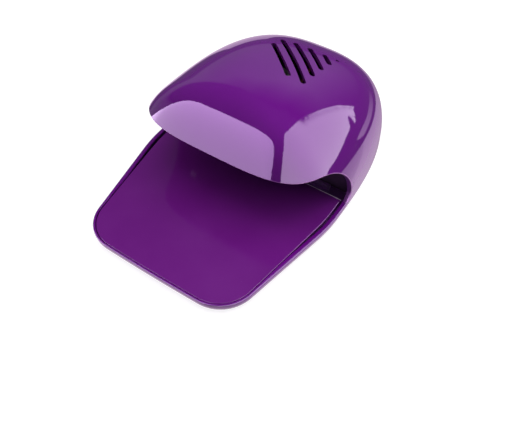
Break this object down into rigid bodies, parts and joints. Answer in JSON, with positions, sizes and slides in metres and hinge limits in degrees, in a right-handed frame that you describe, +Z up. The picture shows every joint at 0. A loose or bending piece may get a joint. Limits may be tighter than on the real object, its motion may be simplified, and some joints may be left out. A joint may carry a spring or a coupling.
{
  "type": "nail polish fan dryer",
  "caption": "Battery nail polish dryer: glossy domed hood with diagonal air slots over a press plate that switches on a fan blowing onto the nails.",
  "frame": {"origin": "on the table, under the middle of the bounding box", "axes": "+Z up, -Y towards the open front of the tray, +X to the right seen from the front"},
  "size_m": [0.0994, 0.1496, 0.0535],
  "materials": {
    "shell_purple": "high gloss ABS, purple",
    "plate_purple": "gloss ABS, purple",
    "cover_purple": "fine satin ABS, purple",
    "panel_black": "satin moulded plastic, near black",
    "impeller_black": "satin moulded plastic, black",
    "steel": "ground steel",
    "spring_steel": "drawn spring wire",
    "screw_steel": "zinc plated steel",
    "can_steel": "drawn zinc plated steel",
    "core_steel": "laminated electrical steel",
    "white_nylon": "natural nylon",
    "bronze": "sintered bronze",
    "ferrite": "sintered ferrite",
    "brass": "rolled brass strip",
    "copper": "enamelled copper",
    "cell_sleeve": "printed shrink sleeve, plain dark with a bare metal end",
    "nickel": "nickel plated steel",
    "switch_black": "moulded plastic, black",
    "wire_red": "PVC insulation, red",
    "wire_white": "PVC insulation, white",
    "wire_black": "PVC insulation, black",
    "foot_rubber": "moulded rubber, black"
  },
  "bodies": {
    "case": {"outer_shell": "shell_purple", "base_cover": "cover_purple", "outlet_panel": "panel_black", "motor_holder": "panel_black", "hinge_pin": "steel", "return_spring": "spring_steel", "panel_screws": "screw_steel", "holder_screws": "screw_steel", "case_screws": "screw_steel", "motor_can": "can_steel", "motor_end_cap": "white_nylon", "motor_bushes": "bronze", "motor_magnets": "ferrite", "motor_brushes": "brass", "battery_front": "cell_sleeve", "battery_rear": "cell_sleeve", "contact_spring": "nickel", "contact_tab": "nickel", "contact_bridge": "nickel", "switch_body": "switch_black", "switch_terminals": "nickel", "wire_positive": "wire_red", "wire_switched": "wire_white", "wire_negative": "wire_black", "rubber_feet": "foot_rubber"},
    "plate": {"finger_plate": "plate_purple"},
    "plunger": {"switch_plunger": "white_nylon"},
    "rotor": {"fan_impeller": "impeller_black", "motor_shaft": "steel", "motor_core": "core_steel", "motor_windings": "copper", "motor_commutator": "copper"},
    "door": {"battery_door": "cover_purple"}
  },
  "joints": [
    {"name": "plate_press", "type": "hinge", "parent": "case", "child": "plate", "pos_m": [0, -0.066, 0.00285], "axis": [-1, 0, 0], "range_deg": [0, 1.1], "stiffness_Nm_per_rad": 4, "springref_deg": -0.57, "deforming": ["return_spring"]},
    {"name": "plunger_travel", "type": "slide", "parent": "case", "child": "plunger", "axis": [0, 0, -1], "range_m": [0, 0.00165]},
    {"name": "fan_spin", "type": "hinge", "parent": "case", "child": "rotor", "pos_m": [0, 0.00065, 0.026], "axis": [0, 0.9397, 0.342], "continuous": true},
    {"name": "door_open", "type": "hinge", "parent": "case", "child": "door", "pos_m": [0, 0.02455, 0.0006], "axis": [-1, 0, 0], "range_deg": [0, 65]}
  ],
  "couplings": [
    {"joint": "plunger_travel", "follows": "plate_press", "m_per_rad": 0.0835}
  ]
}
